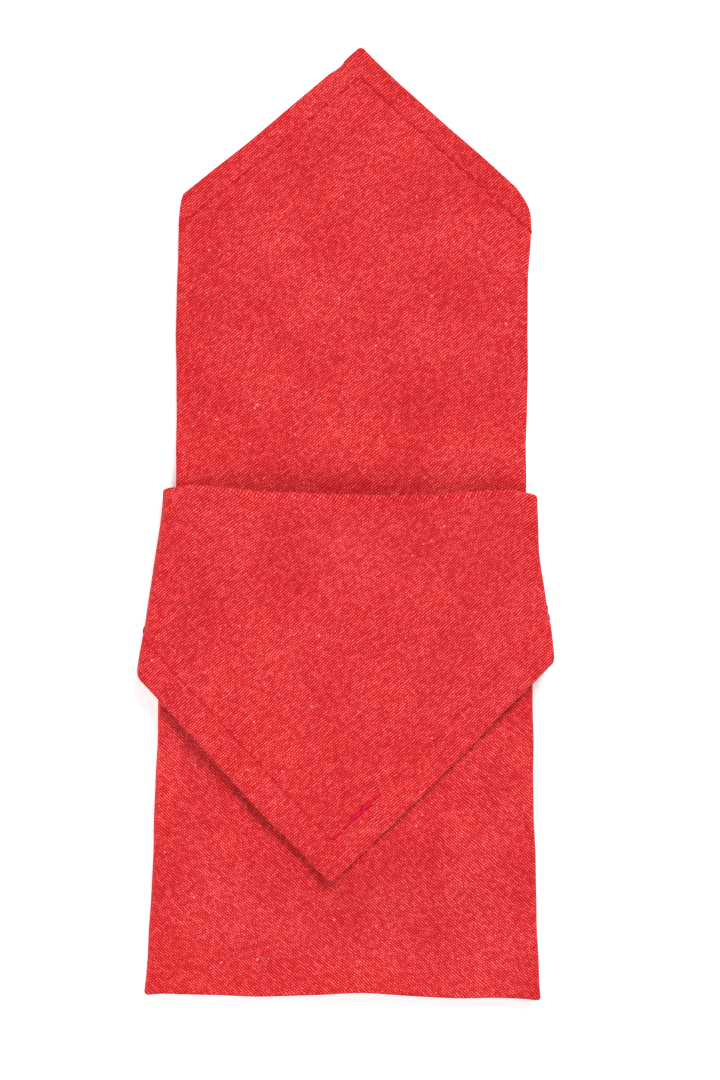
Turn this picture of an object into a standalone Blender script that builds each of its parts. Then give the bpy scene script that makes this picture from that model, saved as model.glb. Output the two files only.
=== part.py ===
"""Folded cloth napkin with a pocket for cutlery, lying flat.

One hemmed cloth, seen as a strip on its diagonal. The strip runs down from the top point as the back
panel, turns up at the bottom fold as the front panel, and turns down again at the mouth of the pocket
as the pointed flap. The sides of all three panels are then turned under, one inside the other, and
stop short of the middle. Metres, +Z up, +Y towards the top point, origin under the middle.
"""
import math
from typing import NamedTuple

import bmesh
import bpy

# The cloth and how closely its layers lie
CLOTH_THICKNESS = 0.0010
LAYER_PITCH = 0.0015
CLOTH_REACH = 0.092          # from the middle of the strip to its long edges, before folding

# The folds and the two corners, along Y
TOP_POINT_Y = 0.1325
BOTTOM_FOLD_Y = -0.1320
MOUTH_Y = 0.0090
FLAP_TIP_Y = -0.1008
TOP_POINT_X = 0.0043
FLAP_TIP_X = -0.0041

# How steeply the hemmed edges fall away from each corner, in degrees from the X axis
TOP_LEFT_SLOPE = 39.3
TOP_RIGHT_SLOPE = 42.1
TIP_LEFT_SLOPE = 46.9
TIP_RIGHT_SLOPE = 45.0

# The hollow of the pocket and the looseness of its mouth
POCKET_RISE = 0.0044
POCKET_RAMP = 0.0200         # how far in from the side folds the front takes to reach its height
POCKET_FLOOR_Y = -0.1270
POCKET_FULL_Y = -0.0900
MOUTH_RADIUS = 0.0014
MOUTH_SETTLE = 0.0140
MOUTH_SAG = 0.0029           # how far the mouth bows down at its lowest place
MOUTH_LOW_X = 0.0100
MOUTH_BOW = 1.0              # how fast the bow rises to both sides, for each square metre across
MOUTH_SAG_REACH = 0.0350
CORNER_DROP = 0.0026         # how far the ends of the mouth fall away at the side folds
CORNER_WIDTH = 0.0065
BOTTOM_SKEW = 0.0110         # fall of the bottom fold to the right, for each metre across
BOTTOM_SKEW_START_Y = -0.0600

# Where the stack steps down: below the mouth's own layers at the top, and past the pocket
UPPER_STEP_LOW_Y = 0.0110
UPPER_STEP_HIGH_Y = 0.0300
LOWER_STEP_HIGH_Y = -0.1140
LOWER_STEP_LOW_Y = -0.0920

# How finely the cloth is divided
PANEL_ROW = 0.0095
TURN_STEPS = 6
SIDE_TURN_STEPS = 5
FACE_COLUMNS = 7
WING_COLUMNS = 3
MERGE_DISTANCE = 0.0001
SHARP_ANGLE = math.radians(50)

CLOTH_COLOUR = (0.72, 0.045, 0.055, 1.0)
CLOTH_ROUGHNESS = 0.9


class SideFolds(NamedTuple):
    """How far a panel's outline lies from the middle, on each side, at one place along Y."""

    y: float
    left: float
    right: float


BACK_SIDES = (
    SideFolds(y=0.0950, left=0.0446, right=0.0478),
    SideFolds(y=0.0862, left=0.0468, right=0.0517),
    SideFolds(y=0.0694, left=0.0475, right=0.0510),
    SideFolds(y=0.0484, left=0.0478, right=0.0510),
    SideFolds(y=0.0134, left=0.0477, right=0.0504),
    SideFolds(y=-0.0496, left=0.0492, right=0.0504),
    SideFolds(y=-0.1294, left=0.0549, right=0.0525),
)
FRONT_SIDES = (
    SideFolds(y=0.0064, left=0.0500, right=0.0520),
    SideFolds(y=-0.0216, left=0.0519, right=0.0520),
    SideFolds(y=-0.0566, left=0.0528, right=0.0523),
    SideFolds(y=-0.0776, left=0.0536, right=0.0525),
    SideFolds(y=-0.1056, left=0.0547, right=0.0533),
    SideFolds(y=-0.1294, left=0.0563, right=0.0541),
)
FLAP_SIDES = (
    SideFolds(y=0.0064, left=0.0514, right=0.0534),
    SideFolds(y=-0.0076, left=0.0531, right=0.0541),
    SideFolds(y=-0.0216, left=0.0553, right=0.0559),
    SideFolds(y=-0.0356, left=0.0575, right=0.0578),
    SideFolds(y=-0.0466, left=0.0590, right=0.0592),
)


class Swell(NamedTuple):
    """A soft rise in a panel that shows, by its middle, its half length each way and its height."""

    x: float
    y: float
    reach_x: float
    reach_y: float
    height: float


BACK_SWELLS = (
    Swell(x=-0.018, y=0.078, reach_x=0.022, reach_y=0.030, height=0.0007),
    Swell(x=0.026, y=0.056, reach_x=0.016, reach_y=0.040, height=0.0009),
    Swell(x=0.004, y=0.112, reach_x=0.014, reach_y=0.012, height=0.0008),
)
FRONT_SWELLS = (
    Swell(x=-0.022, y=-0.012, reach_x=0.018, reach_y=0.026, height=0.0006),
    Swell(x=0.024, y=-0.020, reach_x=0.018, reach_y=0.034, height=0.0008),
    Swell(x=0.010, y=-0.088, reach_x=0.024, reach_y=0.020, height=0.0006),
)

HALF_PITCH = LAYER_PITCH / 2
HALF_CLOTH = CLOTH_THICKNESS / 2

# Distances along the strip at which one stretch of it ends and the next begins
BACK_END = TOP_POINT_Y - BOTTOM_FOLD_Y - HALF_PITCH
BOTTOM_TURN_END = BACK_END + math.pi * HALF_PITCH
FRONT_END = BOTTOM_TURN_END + MOUTH_Y - BOTTOM_FOLD_Y - LAYER_PITCH
MOUTH_TURN_END = FRONT_END + math.pi * HALF_PITCH
STRIP_LENGTH = MOUTH_TURN_END + MOUTH_Y - HALF_PITCH - FLAP_TIP_Y


class Place(NamedTuple):
    """A point of the strip's middle line: its y, its height in layers, and how far round a turn it is."""

    y: float
    height: float
    panel: int
    turn: float


def smooth(value, start, end):
    """Rise gently from 0 at start to 1 at end."""
    share = min(1.0, max(0.0, (value - start) / (end - start)))
    return share * share * (3.0 - 2.0 * share)


def read_table(rows, y, column):
    """Read one column of a table of rows in falling y, along a smooth curve through its rows."""
    places = [row.y for row in rows]
    values = [getattr(row, column) for row in rows]
    if y >= places[0]:
        return values[0]
    if y <= places[-1]:
        return values[-1]
    after = next(i for i, place in enumerate(places) if place <= y)
    before = after - 1
    span = places[after] - places[before]
    share = (y - places[before]) / span
    first = max(before - 1, 0)
    last = min(after + 1, len(rows) - 1)
    leave = (values[after] - values[first]) / (places[after] - places[first]) * span
    arrive = (values[last] - values[before]) / (places[last] - places[before]) * span
    square = share * share
    cube = square * share
    return (
        (2 * cube - 3 * square + 1) * values[before]
        + (cube - 2 * square + share) * leave
        + (3 * square - 2 * cube) * values[after]
        + (cube - square) * arrive
    )


def place_on_strip(distance):
    """Follow the strip's middle line back and forth: back panel, bottom fold, front, mouth, flap."""
    if distance <= BACK_END:
        return Place(TOP_POINT_Y - distance, 0.0, 0, 0.0)
    if distance < BOTTOM_TURN_END:
        turn = (distance - BACK_END) / HALF_PITCH
        y = BOTTOM_FOLD_Y + HALF_PITCH - HALF_PITCH * math.sin(turn)
        return Place(y, HALF_PITCH * (1.0 - math.cos(turn)), 1, turn)
    if distance <= FRONT_END:
        return Place(BOTTOM_FOLD_Y + HALF_PITCH + distance - BOTTOM_TURN_END, LAYER_PITCH, 2, 0.0)
    if distance < MOUTH_TURN_END:
        turn = (distance - FRONT_END) / HALF_PITCH
        y = MOUTH_Y - HALF_PITCH + HALF_PITCH * math.sin(turn)
        return Place(y, LAYER_PITCH + HALF_PITCH * (1.0 - math.cos(turn)), 3, turn)
    return Place(MOUTH_Y - HALF_PITCH - (distance - MOUTH_TURN_END), 2.0 * LAYER_PITCH, 4, math.pi)


def side_radius(place):
    """Radius at which this layer turns under, so that each layer wraps the one inside it."""
    return HALF_PITCH + place.height


def face_reach(place, side):
    """Distance from the middle to where the face stops and the side turn begins."""
    column = "left" if side < 0 else "right"
    back = read_table(BACK_SIDES, place.y, column) - HALF_PITCH - HALF_CLOTH
    front = read_table(FRONT_SIDES, place.y, column) - 3 * HALF_PITCH - HALF_CLOTH
    flap = read_table(FLAP_SIDES, place.y, column) - 5 * HALF_PITCH - HALF_CLOTH
    layers = place.height / LAYER_PITCH
    if layers <= 1.0:
        return back + (front - back) * layers
    return front + (flap - front) * (layers - 1.0)


def stack_height(y):
    """Height of the axis of the side turns, so that the lowest layer always lies on the surface."""
    one_layer = HALF_PITCH + HALF_CLOTH
    two_layers = one_layer + LAYER_PITCH
    three_layers = two_layers + LAYER_PITCH
    rise_at_top = smooth(y, UPPER_STEP_HIGH_Y, UPPER_STEP_LOW_Y)
    fall_at_foot = smooth(y, LOWER_STEP_LOW_Y, LOWER_STEP_HIGH_Y)
    return one_layer + (three_layers - one_layer) * rise_at_top - (three_layers - two_layers) * fall_at_foot


def inner_share(across, reach):
    """How free a point is of the side folds: 1 in the middle of the face, 0 at the folds and under it."""
    return smooth(reach - abs(across), 0.0, POCKET_RAMP)


def swell_height(swells, x, y):
    """Total height of the soft rises at one place."""
    total = 0.0
    for swell in swells:
        away = ((x - swell.x) / swell.reach_x) ** 2 + ((y - swell.y) / swell.reach_y) ** 2
        total += swell.height * math.exp(-away)
    return total


def lift_of_face(place, x, share):
    """Extra height of a face's free middle: the pocket's hollow, the loose mouth and the soft rises."""
    if place.panel == 0:
        return share * swell_height(BACK_SWELLS, x, place.y)
    hollow = POCKET_RISE * smooth(place.y, POCKET_FLOOR_Y, POCKET_FULL_Y)
    lift = hollow + swell_height(FRONT_SWELLS, x, place.y)
    loose = 2.0 * (MOUTH_RADIUS - HALF_PITCH)
    if place.panel == 3:
        lift += loose * (1.0 - math.cos(place.turn)) / 2.0
    if place.panel == 4:
        lift += loose * math.exp(-((MOUTH_Y - place.y) / MOUTH_SETTLE) ** 2)
    return share * lift


def shift_along(place, x, beyond, share):
    """Movement along Y that tilts the bottom fold, bows the mouth and rounds the mouth's ends."""
    shift = -BOTTOM_SKEW * x * smooth(place.y, BOTTOM_SKEW_START_Y, BOTTOM_FOLD_Y)
    if place.panel >= 2:
        near_mouth = smooth(place.y, MOUTH_Y - MOUTH_SAG_REACH, MOUTH_Y)
        sag = MOUTH_SAG - MOUTH_BOW * (x - MOUTH_LOW_X) ** 2
        ends = smooth(beyond, -CORNER_WIDTH, CORNER_WIDTH)
        shift -= near_mouth * (sag + CORNER_DROP * ends)
    if place.panel == 3:
        shift += share * (MOUTH_RADIUS - HALF_PITCH) * math.sin(place.turn)
    return shift


def fold_point(across, distance):
    """Carry a point of the flat strip to its place in the folded napkin."""
    place = place_on_strip(distance)
    side = -1.0 if across < 0 else 1.0
    reach = face_reach(place, side)
    radius = side_radius(place)
    axis_height = stack_height(place.y)
    beyond = abs(across) - reach
    share = inner_share(across, reach)
    turn = min(max(beyond, 0.0) / radius, math.pi)
    under = max(0.0, beyond - math.pi * radius)
    x = side * (min(abs(across), reach) + radius * math.sin(turn) - under)
    z = axis_height + radius * math.cos(turn) + lift_of_face(place, x, share)
    return x, place.y + shift_along(place, x, beyond, share), z


def row_distances():
    """Distances along the strip at which the cloth is divided, closer together in the turns."""
    stretches = (
        (0.0, BACK_END, PANEL_ROW),
        (BACK_END, BOTTOM_TURN_END, (BOTTOM_TURN_END - BACK_END) / TURN_STEPS),
        (BOTTOM_TURN_END, FRONT_END, PANEL_ROW),
        (FRONT_END, MOUTH_TURN_END, (MOUTH_TURN_END - FRONT_END) / TURN_STEPS),
        (MOUTH_TURN_END, STRIP_LENGTH, PANEL_ROW),
    )
    rows = [0.0]
    for start, end, step in stretches:
        count = max(1, round((end - start) / step))
        rows.extend(start + (end - start) * i / count for i in range(1, count + 1))
    return rows


def half_row(place, side):
    """Distances across one half of the strip, from the middle out: face, side turn and wing."""
    reach = face_reach(place, side)
    turn_length = math.pi * side_radius(place)
    wing = CLOTH_REACH - reach - turn_length
    columns = [reach * i / FACE_COLUMNS for i in range(1, FACE_COLUMNS + 1)]
    columns += [reach + turn_length * i / SIDE_TURN_STEPS for i in range(1, SIDE_TURN_STEPS + 1)]
    columns += [reach + turn_length + wing * i / WING_COLUMNS for i in range(1, WING_COLUMNS + 1)]
    return columns


def make_flat_cloth():
    """Lay the strip out flat, its length along Y, as a sheet of four-sided faces."""
    sheet = bmesh.new()
    rows = []
    for distance in row_distances():
        place = place_on_strip(distance)
        left = [-across for across in reversed(half_row(place, -1.0))]
        right = half_row(place, 1.0)
        rows.append([sheet.verts.new((across, distance, 0.0)) for across in left + [0.0] + right])
    for upper, lower in zip(rows, rows[1:]):
        for i in range(len(upper) - 1):
            sheet.faces.new((upper[i], upper[i + 1], lower[i + 1], lower[i]))
    return sheet


def cut_corner(sheet, corner_x, corner_distance, slope, side, end):
    """Trim the flat sheet along one hemmed edge that falls away from a corner of the cloth."""
    angle = math.radians(slope)
    outward = (side * math.sin(angle), end * math.cos(angle), 0.0)
    everything = sheet.verts[:] + sheet.edges[:] + sheet.faces[:]
    bmesh.ops.bisect_plane(
        sheet,
        geom=everything,
        dist=MERGE_DISTANCE,
        plane_co=(corner_x, corner_distance, 0.0),
        plane_no=outward,
        clear_outer=True,
    )


def centre_on_origin(sheet):
    """Slide the folded cloth along the surface until its outline is centred on the origin."""
    for axis in (0, 1):
        places = [vert.co[axis] for vert in sheet.verts]
        middle = (min(places) + max(places)) / 2
        for vert in sheet.verts:
            vert.co[axis] -= middle


def make_napkin():
    """Cut the flat cloth, fold it and give it its thickness."""
    sheet = make_flat_cloth()
    cut_corner(sheet, TOP_POINT_X, 0.0, TOP_LEFT_SLOPE, -1.0, -1.0)
    cut_corner(sheet, TOP_POINT_X, 0.0, TOP_RIGHT_SLOPE, 1.0, -1.0)
    cut_corner(sheet, FLAP_TIP_X, STRIP_LENGTH, TIP_LEFT_SLOPE, -1.0, 1.0)
    cut_corner(sheet, FLAP_TIP_X, STRIP_LENGTH, TIP_RIGHT_SLOPE, 1.0, 1.0)
    bmesh.ops.remove_doubles(sheet, verts=sheet.verts, dist=2 * MERGE_DISTANCE)
    bmesh.ops.triangulate(sheet, faces=sheet.faces)
    for vert in sheet.verts:
        vert.co = fold_point(vert.co.x, vert.co.y)
    centre_on_origin(sheet)
    bmesh.ops.reverse_faces(sheet, faces=sheet.faces)
    mesh = bpy.data.meshes.new("napkin_cloth")
    sheet.to_mesh(mesh)
    sheet.free()
    mesh.shade_smooth()
    mesh.set_sharp_from_angle(angle=SHARP_ANGLE)
    napkin = bpy.data.objects.new("napkin_cloth", mesh)
    thickness = napkin.modifiers.new("cloth thickness", "SOLIDIFY")
    thickness.thickness = CLOTH_THICKNESS
    thickness.offset = 0.0
    thickness.use_rim = True
    return napkin


def make_cloth_material():
    """Plain dry red cloth."""
    material = bpy.data.materials.new("red_cloth")
    material.use_nodes = True
    shader = material.node_tree.nodes["Principled BSDF"]
    shader.inputs["Base Color"].default_value = CLOTH_COLOUR
    shader.inputs["Roughness"].default_value = CLOTH_ROUGHNESS
    shader.inputs["Metallic"].default_value = 0.0
    return material


def main():
    """Clear the scene and build the napkin in its own collection."""
    for thing in list(bpy.data.objects):
        bpy.data.objects.remove(thing, do_unlink=True)
    collection = bpy.data.collections.new("folded_napkin")
    bpy.context.scene.collection.children.link(collection)
    napkin = make_napkin()
    napkin.data.materials.append(make_cloth_material())
    collection.objects.link(napkin)


main()
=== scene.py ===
"""Looks of the folded cloth napkin: the hemmed red cloth, its stitching and a plain studio.

The cloth is cut flat, hemmed and folded by the same rules as the solid that it stands for: down from the
top point as the back panel, up as the front, down again as the flap, with all sides turned under.
"""
import logging
import math
import random
from dataclasses import dataclass
from enum import Enum
from typing import NamedTuple, Sequence

import bmesh
import bpy
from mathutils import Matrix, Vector, noise


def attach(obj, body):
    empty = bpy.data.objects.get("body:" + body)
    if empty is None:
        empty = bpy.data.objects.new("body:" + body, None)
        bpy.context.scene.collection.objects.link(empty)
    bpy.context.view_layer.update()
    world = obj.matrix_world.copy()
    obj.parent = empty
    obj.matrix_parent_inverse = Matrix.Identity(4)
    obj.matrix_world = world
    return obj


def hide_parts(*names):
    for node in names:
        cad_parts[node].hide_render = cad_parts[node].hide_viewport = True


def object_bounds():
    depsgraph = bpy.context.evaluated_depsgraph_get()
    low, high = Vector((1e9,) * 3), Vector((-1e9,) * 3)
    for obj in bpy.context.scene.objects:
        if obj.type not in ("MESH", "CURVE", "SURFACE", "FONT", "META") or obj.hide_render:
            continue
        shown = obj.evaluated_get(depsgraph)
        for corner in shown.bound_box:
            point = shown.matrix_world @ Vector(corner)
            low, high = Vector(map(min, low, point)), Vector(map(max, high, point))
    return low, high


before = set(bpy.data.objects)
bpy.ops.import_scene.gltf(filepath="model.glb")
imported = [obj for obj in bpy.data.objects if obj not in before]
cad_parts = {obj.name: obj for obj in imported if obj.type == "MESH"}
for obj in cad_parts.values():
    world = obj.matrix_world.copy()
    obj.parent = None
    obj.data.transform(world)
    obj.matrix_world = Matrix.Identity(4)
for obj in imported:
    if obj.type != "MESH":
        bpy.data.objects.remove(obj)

CAD_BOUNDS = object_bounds()
LOG = logging.getLogger("napkin")
NODE = "napkin_cloth"
BROAD_RATE = 48.0
BROAD_SHARE = 0.7
FINE_RATE = 1300.0
FLECK_RATE = 900.0
FLECK_RANGE = (0.74, 0.80)
SPARSE_RATE = 130.0
SPARSE_RANGE = (0.54, 0.68)
Object = bpy.types.Object
Sheet = bmesh.types.BMesh
Socket = bpy.types.NodeSocket


class Side(Enum):
    """Which side of the strip's middle a fold or hem is on."""

    LEFT = -1.0
    RIGHT = 1.0


class End(Enum):
    """Which end of the strip a corner of the cloth is at."""

    TOP_POINT = -1.0
    FLAP_TIP = 1.0


class Panel(Enum):
    """The stretches of the strip, in order."""

    BACK = 0
    BOTTOM_TURN = 1
    FRONT = 2
    MOUTH_TURN = 3
    FLAP = 4


class SideFolds(NamedTuple):
    """How far a panel's outline lies from the middle, on each side, at one place along Y."""

    y: float
    left: float
    right: float


class Swell(NamedTuple):
    """A soft rise or hollow by its middle, its half length each way, its turn and its height."""

    x: float
    y: float
    reach_x: float
    reach_y: float
    degrees: float
    height: float


class Wave(NamedTuple):
    """A slight waver of the outline: along Y it moves places sideways, along X it moves them up and down."""

    along_y: bool
    length: float
    phase: float
    height: float


class Place(NamedTuple):
    """A point of the strip's middle line: its y, its height in the stack and how far round a turn it is."""

    y: float
    height: float
    panel: Panel
    turn: float


def smooth(value: float, start: float, end: float) -> float:
    """Rise gently from 0 at start to 1 at end, which may lie below start."""
    share = min(1.0, max(0.0, (value - start) / (end - start)))
    return share * share * (3.0 - 2.0 * share)


def side_of(across: float) -> Side:
    """The side of the strip's middle that a point of the flat strip is on."""
    return Side.LEFT if across < 0 else Side.RIGHT


def read_table(rows: Sequence[SideFolds], y: float, side: Side) -> float:
    """Read a side's column of a table of rows in falling y, along a smooth curve through its rows.

    Args:
        rows: the table, from the highest y to the lowest.
        y: the place to read.
        side: whose column is read.

    Returns:
        The distance from the middle to the outline there.
    """
    places = [row.y for row in rows]
    values = [row.left if side is Side.LEFT else row.right for row in rows]
    if y >= places[0]:
        return values[0]
    if y <= places[-1]:
        return values[-1]
    after = next(i for i, place in enumerate(places) if place <= y)
    before = after - 1
    span = places[after] - places[before]
    share = (y - places[before]) / span
    first = max(before - 1, 0)
    last = min(after + 1, len(rows) - 1)
    leave = (values[after] - values[first]) / (places[after] - places[first]) * span
    arrive = (values[last] - values[before]) / (places[last] - places[before]) * span
    square = share * share
    cube = square * share
    return (
        (2 * cube - 3 * square + 1) * values[before]
        + (cube - 2 * square + share) * leave
        + (3 * square - 2 * cube) * values[after]
        + (cube - square) * arrive
    )


def swell_height(swells: Sequence[Swell], x: float, y: float) -> float:
    """Total height of the soft rises and hollows at one place."""
    total = 0.0
    for swell in swells:
        angle = math.radians(swell.degrees)
        east = x - swell.x
        north = y - swell.y
        along = (east * math.cos(angle) + north * math.sin(angle)) / swell.reach_x
        aside = (north * math.cos(angle) - east * math.sin(angle)) / swell.reach_y
        total += swell.height * math.exp(-along * along - aside * aside)
    return total


@dataclass(frozen=True)
class StripFold:
    """How the strip of cloth is folded back and forth and its sides turned under, in metres."""

    pitch: float = 0.0015
    solid_thickness: float = 0.0010
    cloth_reach: float = 0.092
    pointed_ends_area: float = 0.0161
    top_point_y: float = 0.1325
    bottom_fold_y: float = -0.1320
    mouth_y: float = 0.0096
    flap_tip_y: float = -0.1008
    pocket_rise: float = 0.0044
    pocket_ramp: float = 0.0200
    pocket_floor_y: float = -0.1270
    pocket_full_y: float = -0.0900
    mouth_radius: float = 0.0014
    mouth_settle: float = 0.0140
    mouth_sag: float = 0.0029
    mouth_low_x: float = 0.0080
    mouth_bow: float = 1.3
    mouth_sag_reach: float = 0.0350
    corner_drop: float = 0.0026
    corner_width: float = 0.0065
    tight_left: float = 0.0024
    tight_right: float = 0.0013
    foot_corner_out: float = 0.0004
    foot_corner_down: float = 0.0004
    foot_corner_reach: float = 0.0024
    bottom_skew: float = 0.0130
    bottom_nick: float = 0.0010
    bottom_nick_x: float = 0.0080
    bottom_nick_reach: float = 0.0150
    bottom_skew_start_y: float = -0.0600
    upper_step_low_y: float = 0.0110
    upper_step_high_y: float = 0.0300
    lower_step_high_y: float = -0.1140
    lower_step_low_y: float = -0.0920
    back_sides: tuple = (
        SideFolds(0.0950, 0.0454, 0.0470),
        SideFolds(0.0862, 0.0467, 0.0517),
        SideFolds(0.0694, 0.0475, 0.0510),
        SideFolds(0.0484, 0.0478, 0.0510),
        SideFolds(0.0134, 0.0477, 0.0504),
        SideFolds(-0.0496, 0.0492, 0.0504),
        SideFolds(-0.1294, 0.0549, 0.0525),
    )
    front_sides: tuple = (
        SideFolds(0.0064, 0.0500, 0.0520),
        SideFolds(-0.0216, 0.0519, 0.0520),
        SideFolds(-0.0566, 0.0528, 0.0523),
        SideFolds(-0.0776, 0.0536, 0.0525),
        SideFolds(-0.1056, 0.0547, 0.0533),
        SideFolds(-0.1294, 0.0563, 0.0541),
    )
    flap_sides: tuple = (
        SideFolds(0.0064, 0.0514, 0.0534),
        SideFolds(-0.0076, 0.0531, 0.0541),
        SideFolds(-0.0216, 0.0553, 0.0559),
        SideFolds(-0.0356, 0.0575, 0.0578),
        SideFolds(-0.0466, 0.0590, 0.0592),
    )
    waver: tuple = (
        Wave(along_y=True, length=0.0330, phase=0.7, height=0.00009),
        Wave(along_y=True, length=0.0150, phase=2.0, height=0.00004),
        Wave(along_y=False, length=0.0460, phase=1.9, height=0.00020),
        Wave(along_y=False, length=0.0190, phase=0.4, height=0.00006),
    )
    back_swells: tuple = (
        Swell(-0.018, 0.078, 0.022, 0.030, 0, 0.0007),
        Swell(0.026, 0.056, 0.016, 0.040, 0, 0.0009),
        Swell(0.004, 0.112, 0.014, 0.012, 0, 0.0008),
        Swell(0.002, 0.048, 0.006, 0.034, -8, -0.0003),
        Swell(-0.030, 0.040, 0.024, 0.007, 38, 0.0003),
        Swell(0.034, 0.088, 0.020, 0.006, -42, -0.0003),
    )
    flap_swells: tuple = (
        Swell(-0.024, -0.076, 0.021, 0.010, -47, 0.0019),
        Swell(-0.002, -0.100, 0.008, 0.008, 0, 0.0007),
        Swell(0.022, -0.078, 0.012, 0.008, 45, 0.0009),
        Swell(-0.012, -0.050, 0.024, 0.008, -38, -0.0003),
    )
    front_swells: tuple = (
        Swell(-0.022, -0.012, 0.018, 0.026, 0, 0.0006),
        Swell(0.024, -0.020, 0.018, 0.034, 0, 0.0008),
        Swell(0.010, -0.088, 0.024, 0.020, 0, 0.0006),
        Swell(-0.004, -0.034, 0.007, 0.040, 10, -0.0004),
        Swell(-0.034, -0.040, 0.018, 0.006, 48, 0.0004),
        Swell(0.030, -0.062, 0.020, 0.006, 40, -0.0003),
        Swell(-0.020, -0.104, 0.026, 0.006, 6, 0.0004),
    )

    @property
    def half(self) -> float:
        """Half the distance from one layer to the next."""
        return self.pitch / 2

    @property
    def back_end(self) -> float:
        """Distance along the strip at which the back panel ends."""
        return self.top_point_y - self.bottom_fold_y - self.half

    @property
    def bottom_turn_end(self) -> float:
        """Distance along the strip at which the bottom fold ends."""
        return self.back_end + math.pi * self.half

    @property
    def front_end(self) -> float:
        """Distance along the strip at which the front panel ends."""
        return self.bottom_turn_end + self.mouth_y - self.bottom_fold_y - self.pitch

    @property
    def mouth_turn_end(self) -> float:
        """Distance along the strip at which the fold at the mouth ends."""
        return self.front_end + math.pi * self.half

    @property
    def length(self) -> float:
        """Length of the strip from the top point to the flap's tip."""
        return self.mouth_turn_end + self.mouth_y - self.half - self.flap_tip_y

    def place_on_strip(self, distance: float) -> Place:
        """Follow the strip's middle line back and forth.

        Args:
            distance: how far along the strip, from the top point.

        Returns:
            Where the strip's middle line is there.
        """
        half = self.half
        if distance <= self.back_end:
            return Place(self.top_point_y - distance, 0.0, Panel.BACK, 0.0)
        if distance < self.bottom_turn_end:
            turn = (distance - self.back_end) / half
            y = self.bottom_fold_y + half - half * math.sin(turn)
            return Place(y, half * (1.0 - math.cos(turn)), Panel.BOTTOM_TURN, turn)
        if distance <= self.front_end:
            y = self.bottom_fold_y + half + distance - self.bottom_turn_end
            return Place(y, self.pitch, Panel.FRONT, 0.0)
        if distance < self.mouth_turn_end:
            turn = (distance - self.front_end) / half
            y = self.mouth_y - half + half * math.sin(turn)
            return Place(y, self.pitch + half * (1.0 - math.cos(turn)), Panel.MOUTH_TURN, turn)
        y = self.mouth_y - half - (distance - self.mouth_turn_end)
        return Place(y, 2.0 * self.pitch, Panel.FLAP, math.pi)

    def side_radius(self, place: Place) -> float:
        """Radius at which this layer turns under, so that each layer wraps the one inside it."""
        return self.half + place.height

    def turn_corner(self, place: Place, side: Side) -> float:
        """Radius of the pressed corners above and below a side turn's upright part."""
        tight = self.tight_left if side is Side.LEFT else self.tight_right
        return min(self.side_radius(place), tight)

    def turn_length(self, place: Place, side: Side) -> float:
        """Length of cloth in a side turn: two quarter rounds and the upright part between them."""
        corner = self.turn_corner(place, side)
        return math.pi * corner + 2.0 * (self.side_radius(place) - corner)

    def turn_side(self, place: Place, side: Side, beyond: float) -> tuple[float, float]:
        """Follow the cloth round a side turn and under the face.

        Args:
            place: the place along the strip.
            side: which side the turn is on.
            beyond: length of cloth past the end of the face, or less than nothing on the face.

        Returns:
            How far out from the end of the face the cloth is, and its height above the turn's middle.
        """
        radius = self.side_radius(place)
        corner = self.turn_corner(place, side)
        quarter = math.pi / 2 * corner
        upright = radius - corner
        if beyond <= 0.0:
            return beyond, radius
        if beyond < quarter:
            angle = beyond / corner
            return corner * math.sin(angle), upright + corner * math.cos(angle)
        if beyond < quarter + 2.0 * upright:
            return corner, upright - (beyond - quarter)
        if beyond < 2.0 * (quarter + upright):
            angle = (beyond - quarter - 2.0 * upright) / corner
            return corner * math.cos(angle), -upright - corner * math.sin(angle)
        return 2.0 * (quarter + upright) - beyond, -radius

    def face_reach(self, place: Place, side: Side) -> float:
        """Distance from the middle to where the face stops and the side turn begins."""
        edge = self.turn_corner(place, side) + self.solid_thickness / 2
        back = read_table(self.back_sides, place.y, side)
        front = read_table(self.front_sides, place.y, side)
        flap = read_table(self.flap_sides, place.y, side)
        layers = place.height / self.pitch
        if layers <= 1.0:
            return back + (front - back) * layers - edge
        return front + (flap - front) * (layers - 1.0) - edge

    def beyond_face(self, across: float, distance: float) -> float:
        """Length of cloth from the end of the face out to a point of the flat strip, below 0 on the face."""
        return abs(across) - self.face_reach(self.place_on_strip(distance), side_of(across))

    def stack_height(self, y: float) -> float:
        """Height of the axis of the side turns, so that the lowest layer always lies on the surface."""
        one = self.half + self.solid_thickness / 2
        two = one + self.pitch
        three = two + self.pitch
        rise = smooth(y, self.upper_step_high_y, self.upper_step_low_y)
        fall = smooth(y, self.lower_step_low_y, self.lower_step_high_y)
        return one + (three - one) * rise - (three - two) * fall

    def lift_of_face(self, place: Place, x: float, share: float) -> float:
        """Extra height of a face's free middle: the pocket's hollow, the loose mouth and the soft rises."""
        if place.panel is Panel.BACK:
            return share * swell_height(self.back_swells, x, place.y)
        lift = self.pocket_rise * smooth(place.y, self.pocket_floor_y, self.pocket_full_y)
        lift += swell_height(self.front_swells, x, place.y)
        loose = 2.0 * (self.mouth_radius - self.half)
        if place.panel is Panel.MOUTH_TURN:
            lift += loose * (1.0 - math.cos(place.turn)) / 2.0
        if place.panel is Panel.FLAP:
            lift += loose * math.exp(-((self.mouth_y - place.y) / self.mouth_settle) ** 2)
            lift += swell_height(self.flap_swells, x, place.y)
        return share * lift

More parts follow.
